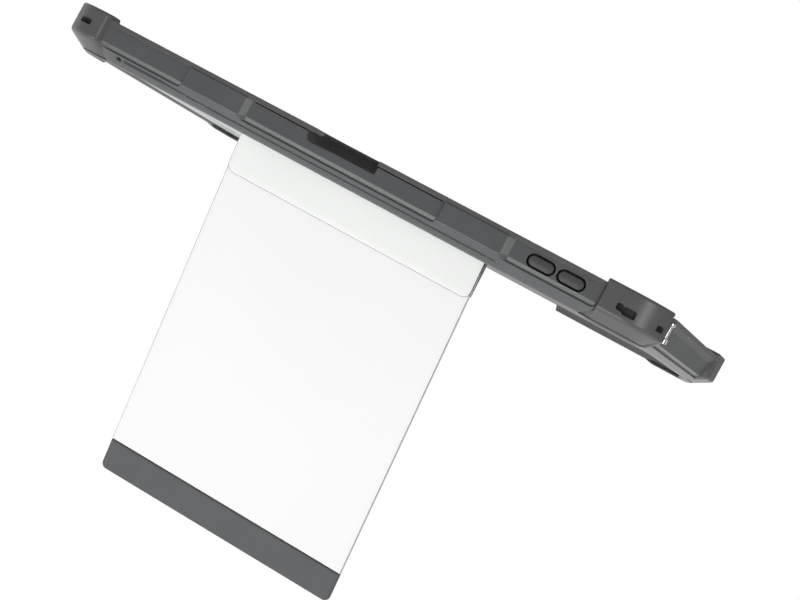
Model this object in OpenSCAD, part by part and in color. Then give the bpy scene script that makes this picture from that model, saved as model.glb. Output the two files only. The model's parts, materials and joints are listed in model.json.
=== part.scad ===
// Field data collector: a tablet computer in an armoured case that stands on
// its bottom edge and on a hinged back stand. The tablet is drawn flat, with X
// across it, Y up it from the bottom edge and Z out of the screen, and is then
// leaned back until the bottom edge and the stand's foot meet the ground.

/* [Armoured outline] */
// Width along the long edge
tablet_w = 316; // [312:1:322]
// Height from the bottom edge to the top edge
tablet_h = 230; // [228:1:234]
// Plan radius of the bumper corners
corner_r = 20; // [18:0.5:22]
// Depth from the front face to the back rim
rim_depth = 17.4; // [17.2:0.1:18]
// Depth at which the side wall turns into the back chamfer
shoulder = 11.5; // [11:0.1:11.8]
// How far in from the edge the chamfer ends on the back rim
rim_in = 8.5; // [7.5:0.1:9]
// Thickness of the front bezel
bezel_t = 2.2; // [2:0.1:2.4]
// Depth of the recessed panels in the long top edge
panel_deep = 2; // [1.6:0.1:2.1]

/* [Corner bumpers] */
// Height of the bumper lips above the front face
lip_up = 2; // [1:0.1:3]
// Width of the bumper lips on the front
lip_w = 9; // [7:0.5:9]
// How far the bumper backs stand out from the back rim
bumper_back = 1; // [0.6:0.1:1.4]

/* [Stand] */
// Opening angle of the stand from the closed position
stand_open = 76; // [60:1:90]
// Distance of the hinge axis from the top edge
hinge_from_top = 42.8; // [41:0.1:45]
// Depth of the hinge axis below the front face
hinge_depth = 14; // [13.9:0.1:14.1]
// Length of the stand from the hinge axis to the end of the foot
stand_len = 182.4; // [170:0.1:184]
// Width of the stand
stand_w = 132.9; // [128:0.1:136]
// Offset of the stand from the middle of the tablet
stand_x = 1.7; // [0:0.1:3]
// Length of the hinge cover from the hinge axis
cover_len = 20.8; // [19:0.1:22]
// Length of the rubber foot
foot_len = 15.6; // [12:0.1:18]

/* [Keys] */
// Length of the hole for one key
key_hole_w = 13.2; // [12:0.1:13.6]
// Height of the hole for one key
key_hole_h = 5.8; // [5:0.1:6]
// Gap round each key cap
key_gap = 0.6; // [0.4:0.05:0.8]
// Distance between the key centres
key_pitch = 14.7; // [14.6:0.1:15]
// Travel of each key
key_travel = 0.8; // [0.6:0.1:0.8]

/* [Hidden] */

$fn = 64;
eps = 0.01;      // overlap that keeps a cut from leaving a skin
fit = 0.05;      // radial clearance of a running fit
press = 0.01;    // radial clearance of a pressed fit

half_w = tablet_w / 2;
core_in = 2.4;                  // side of the hard core under the bumpers
wall_in = core_in - panel_deep; // side of the armour between the bumpers
bezel_in = 1;                   // side of the front bezel
bumper_shoulder = 12;           // depth of the bumpers' lower outer edge
bumper_rim_in = 11.5;
core_rim_in = 11.5;             // where the core's back chamfer ends
pad_in = 14;                    // inner edge of the bumper backs
rim_flat_in = 13;               // inner edge of the back rim

// device inside the armour
device_in = 10;
device_back = 10.8;
device_w = tablet_w - 2 * device_in - 0.4;
device_h = tablet_h - 2 * device_in - 0.4;
floor_t = 1;
glass_t = 0.9;
gasket_t = 0.4;
glass_w = device_w - 3.6;
glass_h = device_h - 3.6;
cavity_w = device_w - 11.6;
cavity_h = device_h - 11.6;
screen_w = cavity_w - 8;
screen_h = cavity_h - 12;
glass_z = -bezel_t - glass_t;
ledge_z = glass_z - gasket_t;
screen_t = 2.5;
midplate_t = 0.6;
midplate_z = glass_z - screen_t - 0.1 - midplate_t;
cavity_z = -device_back + floor_t;

// back of the case
panel_z = -14.5;
panel_t = 1;
shell_z = panel_z + panel_t;
shell_top = -device_back - 0.1;
flange_t = 0.7;

// raised ribs and recessed panels along the top edge, as distances from the middle
panel_low = -10.7;
facet = 3.3;
panels = [[89, 132.8], [-46.7, 58.6 - facet], [-123.8, -77.7 - facet]];
scoop_x = 7.2;
scoop_w = 37.5;
scoop_low = -6.4;
scoop_deep = 5.2;
scoop_y = tablet_h - core_in - scoop_deep;
liner_wall = 1;
liner_floor = 0.6;
liner_r = 4.2;
groove_x = [-83, 121];
groove_share = 0.46;            // how far down the chamfer the groove runs
chamfer_run = rim_in - wall_in;
chamfer_drop = rim_depth - shoulder;
chamfer_tilt = atan2(chamfer_drop, chamfer_run);

// bumper corners: length along the long edge and along the short edge
bumper_spans = [[25, 34], [33.5, 12], [34, 42], [34, 42]];

// keys
key_x = -96.5;
key_z = -6.8;
key_face = tablet_h - core_in;
key_proud = 0.3;
well_deep = 2.5;
web_t = 1.4;
stem_r = 1.4;
collar_r = 2.4;
collar_t = 0.6;
web_y = key_face - well_deep - web_t;
switch_y = tablet_h - device_in + 0.15;
switch_board_t = 1;
switch_t = 0.5;
key_middle = key_x - key_pitch / 2;
key_pocket_w = 2 * key_pitch + 2;
key_pocket_h = 7;

// screws in the back chamfers: x and the side of the tablet
screw_places = [[123.5, 1], [-100, -1], [100, -1]];
rim_screw_r = 1.5;
rim_screw_t = 1.8;

// plug openings in the right-hand side, and the rear camera
usb_ys = [92, 110];
usb_z = -7;
usb_w = 9;
usb_h = 3.2;
camera_x = 100;
camera_y = 204;
camera_r = 6.8;
camera_lens_r = 5.1;

// electronics between the midplate and the chassis floor
cell_low = cavity_z + 0.1;
cell_top = midplate_z - 0.1;
cell_size = [116, 90];
cell_place = [68, 65];
board_z = cavity_z + 1.6;
board_size = [180, 70];
board_place = [-5, 157];
chip_place = [-20, 160];
card_size = [26, 22];
card_x = 108;
card_ys = [140, 170];
speaker_size = [12, 34];
speaker_place = [131, 142];
antenna_len = 60;

// tether post in the side, beside the top left bumper
tether_y = tablet_h - 16.5;
tether_r = 1.3;
tether_in = 2.4;
tether_pocket = [6.5, 8];
tether_pocket_y = tether_y - 0.5;

// stand, in its own frame: Y along it from the hinge axis, Z out of its outer face
hinge_y = tablet_h - hinge_from_top;
cover_top = 3.4;
plate_top = 2.9;
plate_low = 1;
leaf_low = 0.2;
leaf_start = 3.6;
leaf_len = 18;
leaf_half_w = 58;
wedge_low = -2;
wedge_flat = 7;                 // where the underside of the housing starts to rise
rivet_top = 2.2;
shaft_r = 1.2;
knuckle_r = 2.3;
leaf_knuckle_r = 2.1;
end_cap_r = 2.2;
end_cap_w = 4.7;
bracket_knuckles = [-53, 0, 53];
bracket_knuckle_w = 12;
bracket_web = 3.6;              // thickness of the webs above the knuckles
leaf_knuckles = [-26.5, 26.5];
leaf_knuckle_w = 38.2;
washer_t = 1;
washer_xs = [-46.3, -6.7, 6.7, 46.3];
bracket_w = 120;
bracket_t = 0.8;
bracket_reach = 20;
window_w = stand_w + 1.8;
window_low = 22;
window_up = 5.2;
foot_room = 0.9;                // gap round the foot in its notch in the back rim
rivet_r = 1.2;
rivet_xs = [-45, -15, 15, 45];
rivet_s = 12;
screw_xs = [-50, -30, 30, 50];
screw_s = 13;
screw_r = 1.25;
magnet_r = 4;
magnet_t = 1.2;
magnet_x = 40;
magnet_s = stand_len - foot_len - 12;
foot_low = 0.7;
foot_t = 2.5;
tongue_low = 1.45;
tongue_t = 1;
tongue_len = 12;
tongue_in = 3;                  // how far the tongue is in from the sides
foot_corner_r = 3;
cover_corner_r = 4;
foot_start = stand_len - foot_len;

// lean of the tablet: a line through the bumpers' lower edge that touches the
// round end of the foot is the ground
stand_turn = 180 + stand_open;
foot_s = stand_len - foot_t / 2;
foot_n = foot_low + foot_t / 2;
foot_y = hinge_y + foot_s * cos(stand_turn) - foot_n * sin(stand_turn);
foot_z = -hinge_depth + foot_s * sin(stand_turn) + foot_n * cos(stand_turn);
foot_dist = norm([foot_y, foot_z + bumper_shoulder]);
lean = -atan2(foot_z + bumper_shoulder, foot_y) + asin(foot_t / 2 / foot_dist);
front_reach = -lip_up * sin(lean);
back_reach = foot_y * cos(lean) - foot_z * sin(lean) + foot_t / 2;

// Rounded rectangle about the middle
module round_rect(w, h, r) {
    square([w - 2 * r, h], center = true);
    square([w, h - 2 * r], center = true);
    for (x = [-1, 1], y = [-1, 1])
        translate([x * (w / 2 - r), y * (h / 2 - r)]) circle(r);
}

// Slab about the middle of the tablet, between two heights
module slab(w, h, r, z0, z1) {
    translate([0, tablet_h / 2, z0]) linear_extrude(z1 - z0) round_rect(w, h, r);
}

// Slab that follows the outline at a distance in from the edge
module outline(inset, z0, z1) {
    slab(tablet_w - 2 * inset, tablet_h - 2 * inset, corner_r - inset, z0, z1);
}

// Slab with straight sides over a back that slopes in all round
module chamfered(side_in, z_low, z_shoulder, low_in, z_high) {
    hull()
        for (x = [-1, 1], y = [-1, 1])
            translate([x * (half_w - corner_r), tablet_h / 2 + y * (tablet_h / 2 - corner_r), 0]) {
                translate([0, 0, z_low]) cylinder(h = z_shoulder - z_low,
                    r1 = corner_r - low_in, r2 = corner_r - side_in, $fn = 48);
                translate([0, 0, z_shoulder])
                    cylinder(h = z_high - z_shoulder, r = corner_r - side_in, $fn = 48);
            }
}

// Box given by its lowest and highest corners
module block(low, high) {
    translate(low) cube(high - low);
}

// Rounded rectangular block along Z, with its corner radius
module pad(x, y, w, h, r, z0, z1) {
    translate([x, y, z0]) linear_extrude(z1 - z0) round_rect(w, h, r);
}

// Leans the flat tablet back and puts its footprint's middle at the origin
module leaned() {
    translate([0, -(front_reach + back_reach) / 2, bumper_shoulder * cos(lean)])
        rotate([lean, 0, 0]) children();
}

// Frame of the opened stand on the leaned tablet
module opened() {
    leaned() translate([stand_x, hinge_y, -hinge_depth]) rotate([stand_turn, 0, 0]) children();
}

// Cylinder along X about a middle point
module rod(x, r, len) {
    translate([x, 0, 0]) rotate([0, 90, 0]) cylinder(h = len, r = r, center = true);
}

// Profile in the Y-Z plane of the stand, run along X about a middle point
module run_x(x, len) {
    translate([x - len / 2, 0, 0]) rotate([90, 0, 90]) linear_extrude(len) children();
}

// Hard core that the bumpers fit over
module core() {
    chamfered(core_in, -rim_depth, -shoulder + 0.5, core_rim_in, 0);
}

// Corner region of one bumper: x and y sides are 1 or -1
module corner_zone(sx, sy, span) {
    x_in = half_w - span[0];
    y_mid = tablet_h / 2;
    y_in = y_mid - span[1];
    translate([0, y_mid, 0])
        translate([sx > 0 ? x_in : -half_w - 5, sy > 0 ? y_in : -y_mid - 5, -25])
            cube([half_w + 5 - x_in, y_mid + 5 - y_in, 35]);
}

// All four corner regions outside the core
module corner_cuts() {
    difference() {
        union() {
            corner_zone(1, 1, bumper_spans[0]);
            corner_zone(-1, 1, bumper_spans[1]);
            corner_zone(1, -1, bumper_spans[2]);
            corner_zone(-1, -1, bumper_spans[3]);
        }
        core();
    }
}

module bumper_body(sx, sy, span) {
    difference() {
        intersection() {
            chamfered(0, -rim_depth - bumper_back, -bumper_shoulder, bumper_rim_in, lip_up);
            corner_zone(sx, sy, span);
        }
        core();
        slab(tablet_w - 2 * lip_w, tablet_h - 2 * lip_w, corner_r - lip_w, -1, lip_up + 1);
        slab(tablet_w - 2 * pad_in, tablet_h - 2 * pad_in, corner_r - pad_in,
            -rim_depth - bumper_back - 1, -rim_depth + eps);
    }
}

// Slot outline with round ends
module slot_shape(w, h) {
    square([w - h, h], center = true);
    for (s = [-1, 1]) translate([s * (w - h) / 2, 0]) circle(h / 2);
}

// Slot with round ends along Y, between two distances from the bottom edge
module edge_slot(x, z, w, h, y0, y1) {
    translate([x, y1, z]) rotate([90, 0, 0]) linear_extrude(y1 - y0) slot_shape(w, h);
}

// Slot with round ends along X
module side_slot(x, y, len, w, h) {
    translate([x, y, usb_z]) rotate([90, 0, 90]) linear_extrude(len) slot_shape(w, h);
}

module key_slots(w, h, y0, y1) {
    for (i = [0, 1]) edge_slot(key_x - i * key_pitch, key_z, w, h, y0, y1);
}

// Recessed panel with one slanted end
module panel_cut(span) {
    slope = facet / panel_deep;
    translate([0, 0, panel_low]) linear_extrude(-bezel_t - panel_low + eps)
        polygon([[span[0], tablet_h - core_in], [span[1], tablet_h - core_in],
            [span[1] + slope * (core_in + 1), tablet_h + 1], [span[0], tablet_h + 1]]);
}

// Point on the back chamfer of the top edge, a share of the way down it
module on_chamfer(x, share) {
    translate([x, tablet_h - wall_in - share * chamfer_run, -shoulder - share * chamfer_drop])
        rotate([180 + chamfer_tilt, 0, 0]) children();
}

module armour_frame() {
    color([0.34, 0.35, 0.36]) leaned() difference() {
        chamfered(wall_in, -rim_depth, -shoulder, rim_in, -bezel_t);
        corner_cuts();
        slab(device_w + 0.4, device_h + 0.4, 8, -device_back - flange_t - 0.1, 1);
        outline(rim_flat_in, -rim_depth - 1, -device_back);
        for (span = panels) panel_cut(span);
        scoop_cut();
        foot_notch();
        key_slots(key_hole_w, key_hole_h, key_face - well_deep, tablet_h + 1);
        for (i = [0, 1])
            translate([key_x - i * key_pitch, tablet_h - 4, key_z]) rotate([90, 0, 0])
                cylinder(h = 4, r = stem_r + 0.15);
        translate([key_middle, 0, key_z])
            block([-key_pocket_w / 2, tablet_h - device_in - 1, -key_pocket_h / 2],
                [key_pocket_w / 2, web_y, key_pocket_h / 2]);
        chamfer_groove();
        for (p = screw_places) screw_at(p) cylinder(h = 5, r = rim_screw_r, center = true);
        tether_cut();
        for (y = usb_ys) side_slot(half_w - 12, y, 14, usb_w + 2, usb_h + 0.6);
    }
}

// Narrow groove along the back chamfer of the top edge, with wider round ends
module chamfer_groove() {
    for (x = groove_x) on_chamfer(x, groove_share) cylinder(h = 2.4, r = 0.9, center = true);
    on_chamfer(groove_x[0], groove_share)
        translate([0, -0.6, -1]) cube([groove_x[1] - groove_x[0], 1.2, 2]);
}

// Notch in the back rim that the folded stand's foot lies in
module foot_notch() {
    block([stand_x - stand_w / 2 - foot_room, -1, -rim_depth - 1],
        [stand_x + stand_w / 2 + foot_room, rim_flat_in + eps, shell_z - panel_t]);
}

// Scoop across the top edge, open to the front and to the edge
module scoop_cut() {
    block([scoop_x - scoop_w / 2, scoop_y, scoop_low],
        [scoop_x + scoop_w / 2, tablet_h + 1, 1]);
}

// Place of one screw: its x and 1 for the top edge or -1 for the bottom edge
module screw_at(p) {
    if (p[1] > 0) on_chamfer(p[0], 0.5) children();
    else translate([0, tablet_h, 0]) mirror([0, 1, 0]) on_chamfer(p[0], 0.5) children();
}

// Pocket in the left-hand side behind the tether post, with the post's lower seat
module tether_cut() {
    block([-half_w - 1, tether_pocket_y - tether_pocket[1] / 2, panel_low],
        [-half_w + tether_pocket[0], tether_pocket_y + tether_pocket[1] / 2, -bezel_t]);
    translate([-half_w + tether_in, tether_y, panel_low - 1]) cylinder(h = 4, r = tether_r + press);
}

module front_bezel() {
    grille_pitch = 2.2;
    color([0.27, 0.28, 0.28]) leaned() difference() {
        outline(bezel_in, -bezel_t, 0);
        corner_cuts();
        slab(glass_w - 6, glass_h - 6, 4, -bezel_t - 1, 1);
        scoop_cut();
        for (side = [-1, 1], i = [-3:3])
            translate([side * 90 + i * grille_pitch, 6.2, -1.2]) cylinder(h = 2, r = 0.6, $fn = 24);
    }
}

module bumper_top_right() {
    color([0.41, 0.42, 0.42]) leaned() difference() {
        bumper_body(1, 1, bumper_spans[0]);
        edge_slot(145.7, -5.8, 6.4, 3.4, tablet_h - 6, tablet_h + 1);
    }
}

module bumper_top_left() {
    color([0.41, 0.42, 0.42]) leaned() difference() {
        bumper_body(-1, 1, bumper_spans[1]);
        edge_slot(-138.4, -6.8, 10.4, 3.8, tablet_h - 6, tablet_h + 1);
        translate([-half_w + 6, tablet_h - 6, -7.4]) rotate([0, 0, 45]) rotate([0, -90, 0])
            translate([-1.8, -1.8, 0]) cube([3.6, 3.6, 12]);
    }
}

module bumper_bottom_right() {
    color([0.41, 0.42, 0.42]) leaned() bumper_body(1, -1, bumper_spans[2]);
}

module bumper_bottom_left() {
    color([0.41, 0.42, 0.42]) leaned() bumper_body(-1, -1, bumper_spans[3]);
}

// Opening in the back for the hinge of the stand
module hinge_window(z0, z1) {
    block([stand_x - window_w / 2, hinge_y - window_low, z0],
        [stand_x + window_w / 2, hinge_y + window_up, z1]);
}

module back_shell() {
    color([0.3, 0.31, 0.32]) leaned() difference() {
        union() {
            outline(rim_flat_in + 0.1, shell_z, shell_top);
            outline(device_in + 0.4, shell_top - flange_t, shell_top);
        }
        hinge_window(shell_z - 1, shell_top - bracket_t);
        bracket_seat();
        for (x = screw_xs)
            translate([stand_x + x, hinge_y + screw_s, shell_z]) cylinder(h = 3, r = screw_r + press);
        translate([camera_x, camera_y, shell_z - 1]) cylinder(h = 5, r = camera_r + 0.1);
        for (s = [-1, 1]) translate([stand_x + s * magnet_x, hinge_y - magnet_s, shell_z - eps])
            cylinder(h = 1, r = magnet_r + press);
    }
}

// Seat of the fixed hinge plate in the back shell
module bracket_seat() {
    block([stand_x - window_w / 2, hinge_y - window_low, shell_top - bracket_t - 0.1],
        [stand_x + window_w / 2, hinge_y + bracket_reach + 0.1, shell_top + 1]);
}

module back_panel() {
    color([0.83, 0.84, 0.85]) leaned() difference() {
        outline(rim_flat_in + 0.1, panel_z, shell_z);
        hinge_window(panel_z - 1, shell_z + 1);
        translate([camera_x, camera_y, panel_z - 1]) cylinder(h = 3, r = camera_r + 0.1);
    }
}

// Lining of the scoop, with a quarter-round between its floor and its back
module scoop_liner() {
    inner_w = scoop_w / 2 - liner_wall;
    round_y = scoop_y + liner_wall + liner_r;
    round_z = scoop_low + liner_floor + liner_r;
    color([0.16, 0.17, 0.17]) leaned() intersection() {
        difference() {
            block([scoop_x - scoop_w / 2, scoop_y, scoop_low],
                [scoop_x + scoop_w / 2, tablet_h - core_in, -bezel_t]);
            translate([scoop_x, round_y, round_z]) rod(0, liner_r, 2 * inner_w);
            block([scoop_x - inner_w, scoop_y + liner_wall, round_z],
                [scoop_x + inner_w, tablet_h + 1, 1]);
            block([scoop_x - inner_w, round_y, scoop_low + liner_floor],
                [scoop_x + inner_w, tablet_h + 1, 1]);
        }
        core();
    }
}

module rim_screws() {
    color([0.12, 0.12, 0.12]) leaned() for (p = screw_places) screw_at(p) difference() {
        translate([0, 0, -2.4]) cylinder(h = rim_screw_t, r = rim_screw_r - press);
        translate([0, 0, -1.4]) cylinder(h = 2, r = 0.7, $fn = 6);
    }
}

module tether_post() {
    color([0.75, 0.76, 0.77]) leaned()
        translate([-half_w + tether_in, tether_y, panel_low - 1])
            cylinder(h = -bezel_t - panel_low + 1, r = tether_r);
}

module chassis() {
    color([0.2, 0.2, 0.21]) leaned() difference() {
        slab(device_w, device_h, 7.8, -device_back, -bezel_t);
        slab(glass_w, glass_h, 6, ledge_z, 1);
        slab(cavity_w, cavity_h, 4, cavity_z, 1);
        translate([camera_x, camera_y, -device_back - 1]) cylinder(h = 3, r = 3.6);
        for (y = usb_ys) side_slot(cavity_w / 2 - 1, y, 10, usb_w + 0.2, usb_h + 0.2);
    }
}

module cover_glass() {
    color([0.05, 0.06, 0.07, 0.5]) leaned() slab(glass_w - 0.2, glass_h - 0.2, 5.9, glass_z, -bezel_t);
}

module glass_gasket() {
    color([0.04, 0.04, 0.04]) leaned() difference() {
        slab(glass_w - 0.2, glass_h - 0.2, 5.9, ledge_z, glass_z);
        slab(screen_w + 4, screen_h + 8, 2, ledge_z - 1, 1);
    }
}

module display_panel() {
    color([0.02, 0.03, 0.04]) leaned() slab(screen_w, screen_h, 1, glass_z - screen_t, glass_z);
}

module midplate() {
    color([0.5, 0.51, 0.52]) leaned() difference() {
        slab(cavity_w - 8, cavity_h - 2, 3, midplate_z, midplate_z + midplate_t);
        for (x = [-90, 0, 90]) pad(x, 160, 40, 30, 4, midplate_z - 1, midplate_z + 2);
    }
}

module battery(side) {
    pad(side * cell_place[0], cell_place[1], cell_size[0], cell_size[1], 3, cell_low, cell_top);
}
module battery_left() { color([0.25, 0.26, 0.3]) leaned() battery(-1); }
module battery_right() { color([0.25, 0.26, 0.3]) leaned() battery(1); }

module mainboard() {
    color([0.08, 0.3, 0.2]) leaned() difference() {
        pad(board_place[0], board_place[1], board_size[0], board_size[1], 2, board_z, board_z + 1);
        for (x = [-1, 1], y = [-1, 1])
            translate([board_place[0] + x * (board_size[0] / 2 - 5),
                board_place[1] + y * (board_size[1] / 2 - 5), board_z - 1])
                cylinder(h = 3, r = 1.3, $fn = 32);
    }
}
module processor() {
    color([0.1, 0.1, 0.1]) leaned()
        pad(chip_place[0], chip_place[1], 26, 26, 0.5, board_z - 0.8, board_z);
}
module heat_spreader() {
    color([0.72, 0.45, 0.3]) leaned()
        pad(chip_place[0], chip_place[1], 110, 44, 3, cell_low, board_z - 0.8);
}

// Plug-in card beside the mainboard
module card(y) {
    pad(card_x, y, card_size[0], card_size[1], 0.5, board_z, board_z + 1.6);
}
module ssd_module() { color([0.1, 0.2, 0.3]) leaned() card(card_ys[0]); }
module radio_module() { color([0.6, 0.6, 0.6]) leaned() card(card_ys[1]); }
module speaker(side) {
    x = side * speaker_place[0];
    y = speaker_place[1];
    difference() {
        pad(x, y, speaker_size[0], speaker_size[1], 2, cell_low, cell_top);
        pad(x, y, speaker_size[0] - 4, speaker_size[1] - 8, 2, cell_top - 0.8, cell_top + 1);
    }
}
module speaker_left() { color([0.1, 0.1, 0.1]) leaned() speaker(-1); }
module speaker_right() { color([0.1, 0.1, 0.1]) leaned() speaker(1); }
module antenna(side) {
    pad(side * (cavity_w / 2 - 1.2), 50, 1.6, antenna_len, 0.5, cell_low, cavity_z + 3);
}
module antenna_left() { color([0.75, 0.6, 0.3]) leaned() antenna(-1); }
module antenna_right() { color([0.75, 0.6, 0.3]) leaned() antenna(1); }

module front_camera() {
    color([0.03, 0.03, 0.05]) leaned() difference() {
        translate([0, tablet_h / 2 + screen_h / 2 + 2, glass_z - 2.2]) cylinder(h = 2.2, r = 1.6);
        translate([0, tablet_h / 2 + screen_h / 2 + 2, glass_z - 0.4]) cylinder(h = 1, r = 0.9);
    }
}
module rear_camera() {
    color([0.05, 0.05, 0.06]) leaned() difference() {
        union() {
            translate([camera_x, camera_y, cavity_z + 0.05]) cylinder(h = 3.2, r = 4.5);
            translate([camera_x, camera_y, cavity_z - 0.9]) cylinder(h = 1, r = 3.2);
        }
        translate([camera_x, camera_y, cavity_z - 1]) cylinder(h = 1.4, r = 1.8);
    }
}
module rear_camera_ring() {
    color([0.2, 0.2, 0.21]) leaned() difference() {
        translate([camera_x, camera_y, panel_z - 0.4]) cylinder(h = 3, r = camera_r);
        translate([camera_x, camera_y, panel_z - 1]) cylinder(h = 5, r = 4.2);
        translate([camera_x, camera_y, panel_z - 1]) cylinder(h = 1.8, r = camera_lens_r + 0.1);
    }
}
module rear_camera_window() {
    color([0.1, 0.12, 0.15, 0.5]) leaned()
        translate([camera_x, camera_y, panel_z]) cylinder(h = 0.8, r = camera_lens_r);
}

module port_board() {
    color([0.08, 0.3, 0.2]) leaned()
        pad(cavity_w / 2 - 9, 101, 12, 40, 1, usb_z - 0.4, usb_z + 0.4);
}
module usb_connectors() {
    color([0.7, 0.7, 0.72]) leaned() for (y = usb_ys) {
        difference() {
            side_slot(cavity_w / 2 - 3, y, 8.6, usb_w, usb_h);
            side_slot(cavity_w / 2 - 1, y, 8, usb_w - 0.6, usb_h - 0.6);
        }
        translate([cavity_w / 2 - 1 - eps, y - 3.3, usb_z - 0.35]) cube([5, 6.6, 0.7]);
    }
}

module key_board() {
    color([0.08, 0.3, 0.2]) leaned() translate([key_middle, 0, key_z])
        block([-key_pocket_w / 2 + 0.5, switch_y, -3],
            [key_pocket_w / 2 - 0.5, switch_y + switch_board_t, 3]);
}
module tact_switches() {
    button_y = switch_y + switch_board_t;
    button_end = web_y - 0.1 - collar_t - key_travel - 0.05;
    color([0.6, 0.6, 0.6]) leaned() for (i = [0, 1])
        translate([key_x - i * key_pitch, button_y, key_z]) {
            block([-2.2, 0, -2.2], [2.2, switch_t, 2.2]);
            rotate([-90, 0, 0]) cylinder(h = button_end - button_y, r = 1);
        }
}

// One key: its cap, the stem through the web and the collar that holds it in
module key(i) {
    x = key_x - i * key_pitch;
    stem_y = key_face - 1;
    edge_slot(x, key_z, key_hole_w - 2 * key_gap, key_hole_h - 2 * key_gap,
        key_face - well_deep + key_travel + 0.2, key_face + key_proud);
    translate([x, stem_y, key_z]) rotate([90, 0, 0]) {
        cylinder(h = stem_y - web_y + 0.2, r = stem_r);
        translate([0, 0, stem_y - web_y + 0.1]) cylinder(h = collar_t, r = collar_r);
    }
}
module power_key() { color([0.38, 0.39, 0.39]) leaned() key(0); }
module volume_key() { color([0.38, 0.39, 0.39]) leaned() key(1); }

// Fixed half of the hinge: plate above the window, with webs down to the knuckles
module stand_bracket() {
    plate_z = shell_top - bracket_t + hinge_depth;
    color([0.55, 0.56, 0.58]) leaned() translate([stand_x, hinge_y, -hinge_depth])
        difference() {
            union() {
                block([-bracket_w / 2, -knuckle_r, plate_z],
                    [bracket_w / 2, bracket_reach, plate_z + bracket_t]);
                for (x = bracket_knuckles) {
                    rod(x, knuckle_r, bracket_knuckle_w);
                    block([x - bracket_knuckle_w / 2, -bracket_web / 2, 0],
                        [x + bracket_knuckle_w / 2, bracket_web / 2, plate_z + 0.1]);
                }
            }
            rod(0, shaft_r + press, bracket_w + 2);
            for (x = screw_xs)
                translate([x, screw_s, plate_z - 1]) cylinder(h = 3, r = screw_r + press);
        }
}
module bracket_screws() {
    color([0.6, 0.6, 0.62]) leaned() for (x = screw_xs)
        translate([stand_x + x, hinge_y + screw_s, shell_z + 0.1])
            cylinder(h = shell_top - shell_z - 0.1, r = screw_r);
}
module hinge_shaft() {
    color([0.7, 0.7, 0.72]) leaned() translate([stand_x, hinge_y, -hinge_depth])
        rod(0, shaft_r, bracket_w);
}
module friction_washers() {
    color([0.5, 0.5, 0.5]) leaned() translate([stand_x, hinge_y, -hinge_depth])
        for (x = washer_xs) difference() {
            rod(x, leaf_knuckle_r, washer_t);
            rod(x, shaft_r + press, washer_t + 1);
        }
}
module keeper_discs() {
    color([0.6, 0.6, 0.62]) leaned() for (s = [-1, 1])
        translate([stand_x + s * magnet_x, hinge_y - magnet_s, shell_z])
            cylinder(h = 0.9, r = magnet_r);
}

// Moving half of the hinge, under the stand plate
module hinge_leaf() {
    color([0.55, 0.56, 0.58]) opened() difference() {
        union() {
            for (x = leaf_knuckles) {
                rod(x, leaf_knuckle_r, leaf_knuckle_w);
                block([x - leaf_knuckle_w / 2, 0, leaf_low],
                    [x + leaf_knuckle_w / 2, leaf_start, plate_low]);
            }
            block([-leaf_half_w, leaf_start, leaf_low], [leaf_half_w, leaf_len, plate_low]);
        }
        rod(0, shaft_r + fit, bracket_w);
        for (x = rivet_xs) translate([x, rivet_s, 0]) cylinder(h = 2, r = rivet_r + press);
    }
}
module leaf_rivets() {
    color([0.6, 0.6, 0.62]) opened() for (x = rivet_xs)
        translate([x, rivet_s, leaf_low]) cylinder(h = rivet_top - leaf_low, r = rivet_r);
}

// Wedge under the hinge end of the stand, with an end cap and a filler at each side
module hinge_housing() {
    housing_len = cover_len - 1;
    filler_in = leaf_half_w + 0.2;
    color([0.2, 0.2, 0.21]) opened() {
        run_x(0, stand_w) polygon([[leaf_start - eps, leaf_low], [leaf_start - eps, wedge_low],
            [wedge_flat, wedge_low], [housing_len, leaf_low - 0.3], [housing_len, leaf_low]]);
        for (s = [-1, 1]) {
            run_x(s * (stand_w - end_cap_w) / 2, end_cap_w) {
                circle(end_cap_r);
                translate([0, wedge_low]) square([leaf_start, plate_top - wedge_low]);
            }
            run_x(s * (stand_w / 2 + filler_in) / 2, stand_w / 2 - filler_in)
                translate([leaf_start, leaf_low - eps])
                    square([housing_len - leaf_start, plate_low - leaf_low + eps]);
        }
    }
}

// Outline of the stand between two distances from the hinge, round at the far corners
module stand_shape(s0, s1, r) {
    translate([-stand_w / 2, s0]) square([stand_w, s1 - s0 - r]);
    translate([-stand_w / 2 + r, s0]) square([stand_w - 2 * r, s1 - s0]);
    for (s = [-1, 1]) translate([s * (stand_w / 2 - r), s1 - r]) circle(r);
}
module hinge_cover() {
    inner_w = stand_w / 2 - end_cap_w;
    color([0.93, 0.94, 0.93]) opened() intersection() {
        union() {
            block([-stand_w / 2, 0, plate_top], [stand_w / 2, cover_len, cover_top]);
            block([-inner_w, 0, knuckle_r + 0.15], [inner_w, leaf_start, cover_top]);
        }
        linear_extrude(cover_top) stand_shape(0, cover_len, cover_corner_r);
    }
}

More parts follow.
